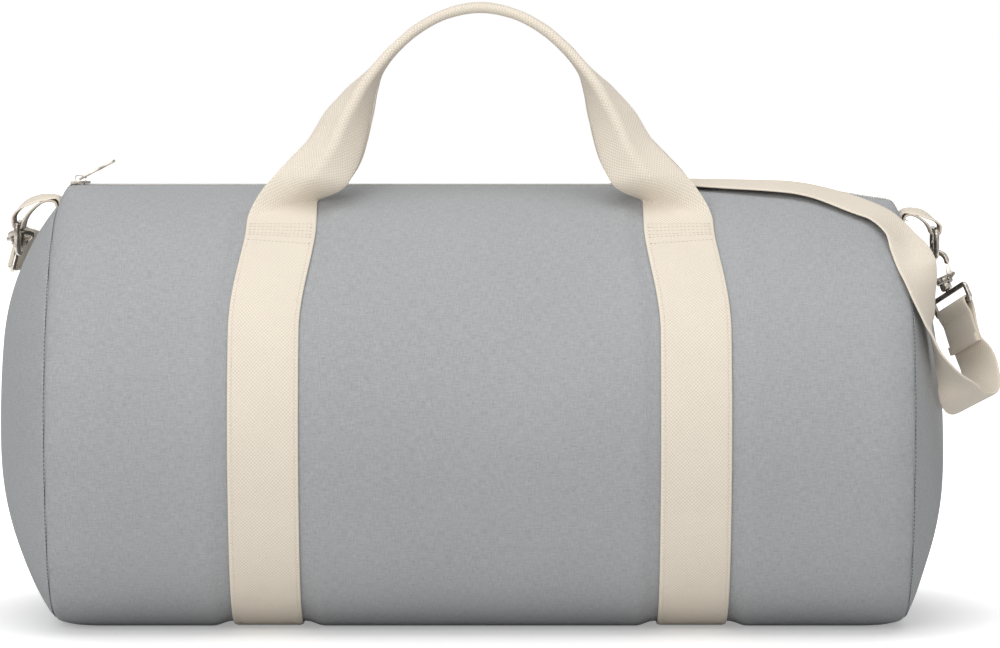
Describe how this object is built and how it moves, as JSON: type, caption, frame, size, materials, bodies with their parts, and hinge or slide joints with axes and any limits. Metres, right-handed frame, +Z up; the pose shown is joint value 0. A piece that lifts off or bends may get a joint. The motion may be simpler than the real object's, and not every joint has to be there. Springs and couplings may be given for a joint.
{
  "type": "sports bag",
  "caption": "Barrel-shaped canvas holdall with a zip along the top, webbing bands that become two carrying handles, and a clip-on shoulder strap.",
  "frame": {"origin": "on the floor under the middle of the barrel", "axes": "+Z up, +X along the barrel from the slider's end to the end with the hanging strap, -Y towards the viewer of the picture"},
  "size_m": [0.5538, 0.2613, 0.3432],
  "materials": {
    "grey_canvas": "plain-woven cotton canvas, matt",
    "cream_webbing": "herringbone cotton webbing, matt",
    "nickel": "polished nickel plate"
  },
  "bodies": {
    "bag": {"main_panel": "grey_canvas", "end_panel_left": "grey_canvas", "end_panel_right": "grey_canvas", "end_seam_binding_left": "cream_webbing", "end_seam_binding_right": "cream_webbing", "zip_tape_front": "cream_webbing", "zip_tape_back": "cream_webbing", "zip_chain_front": "cream_webbing", "zip_chain_back": "cream_webbing", "webbing_band_left": "cream_webbing", "webbing_band_right": "cream_webbing", "end_tab_left": "cream_webbing", "end_tab_right": "cream_webbing", "shoulder_strap": "cream_webbing", "strap_return": "cream_webbing", "strap_adjuster": "nickel"},
    "slider": {"zip_slider": "nickel"},
    "puller": {"zip_puller": "nickel"},
    "handle_front": {"carry_handle_front": "cream_webbing"},
    "handle_back": {"carry_handle_back": "cream_webbing"},
    "ring_left": {"d_ring_left": "nickel"},
    "ring_right": {"d_ring_right": "nickel"},
    "strap_hang_left": {"strap_end_left": "cream_webbing", "hook_eye_left": "nickel"},
    "strap_hang_right": {"strap_end_right": "cream_webbing", "hook_eye_right": "nickel"},
    "hook_left": {"hook_body_left": "nickel", "hook_pin_left": "nickel", "gate_spring_left": "nickel"},
    "hook_right": {"hook_body_right": "nickel", "hook_pin_right": "nickel", "gate_spring_right": "nickel"},
    "gate_left": {"hook_gate_left": "nickel"},
    "gate_right": {"hook_gate_right": "nickel"}
  },
  "joints": [
    {"name": "slider_run", "type": "slide", "parent": "bag", "child": "slider", "axis": [1, 0, 0], "range_m": [0, 0.27]},
    {"name": "puller_swing", "type": "hinge", "parent": "slider", "child": "puller", "pos_m": [-0.222, 0, 0.2444], "axis": [0, -1, 0], "range_deg": [-26, 120]},
    {"name": "handle_front_fall", "type": "hinge", "parent": "bag", "child": "handle_front", "pos_m": [0, -0.0645, 0.2228], "axis": [1, 0, 0], "range_deg": [0, 130]},
    {"name": "handle_back_fall", "type": "hinge", "parent": "bag", "child": "handle_back", "pos_m": [0, 0.0645, 0.2228], "axis": [-1, 0, 0], "range_deg": [0, 130]},
    {"name": "strap_swing_left", "type": "hinge", "parent": "bag", "child": "strap_hang_left", "pos_m": [-0.2565, 0, 0.2195], "axis": [0, 1, 0], "range_deg": [0, 40]},
    {"name": "strap_swing_right", "type": "hinge", "parent": "bag", "child": "strap_hang_right", "pos_m": [0.2525, 0, 0.216], "axis": [0, -1, 0], "range_deg": [0, 40]},
    {"name": "ring_swing_left", "type": "hinge", "parent": "bag", "child": "ring_left", "pos_m": [-0.2565, 0, 0.2195], "axis": [0, 1, 0], "range_deg": [0, 40]},
    {"name": "ring_swing_right", "type": "hinge", "parent": "bag", "child": "ring_right", "pos_m": [0.2525, 0, 0.216], "axis": [0, -1, 0], "range_deg": [0, 40]},
    {"name": "hook_swivel_left", "type": "hinge", "parent": "strap_hang_left", "child": "hook_left", "pos_m": [-0.25684, 0.01686, 0.21228], "axis": [-0.1405, 0.9432, -0.301], "range_deg": [-25, 25]},
    {"name": "hook_swivel_right", "type": "hinge", "parent": "strap_hang_right", "child": "hook_right", "pos_m": [0.25336, -0.00065, 0.19756], "axis": [0.36, -0.27, -0.893], "range_deg": [-25, 25]},
    {"name": "gate_open_left", "type": "hinge", "parent": "hook_left", "child": "gate_left", "pos_m": [-0.26158, 0.02696, 0.20891], "axis": [-0.0443, 0.2977, 0.9536], "range_deg": [0, 20], "stiffness_Nm_per_rad": 0.004, "springref_deg": -20.05, "deforming": ["gate_spring_left"]},
    {"name": "gate_open_right", "type": "hinge", "parent": "hook_right", "child": "gate_right", "pos_m": [0.26036, -0.00367, 0.18875], "axis": [-0.1009, -0.9629, 0.2504], "range_deg": [0, 20], "stiffness_Nm_per_rad": 0.004, "springref_deg": -20.05, "deforming": ["gate_spring_right"]}
  ],
  "couplings": [
    {"joint": "ring_swing_left", "follows": "strap_swing_left", "ratio": 1},
    {"joint": "ring_swing_right", "follows": "strap_swing_right", "ratio": 1}
  ]
}
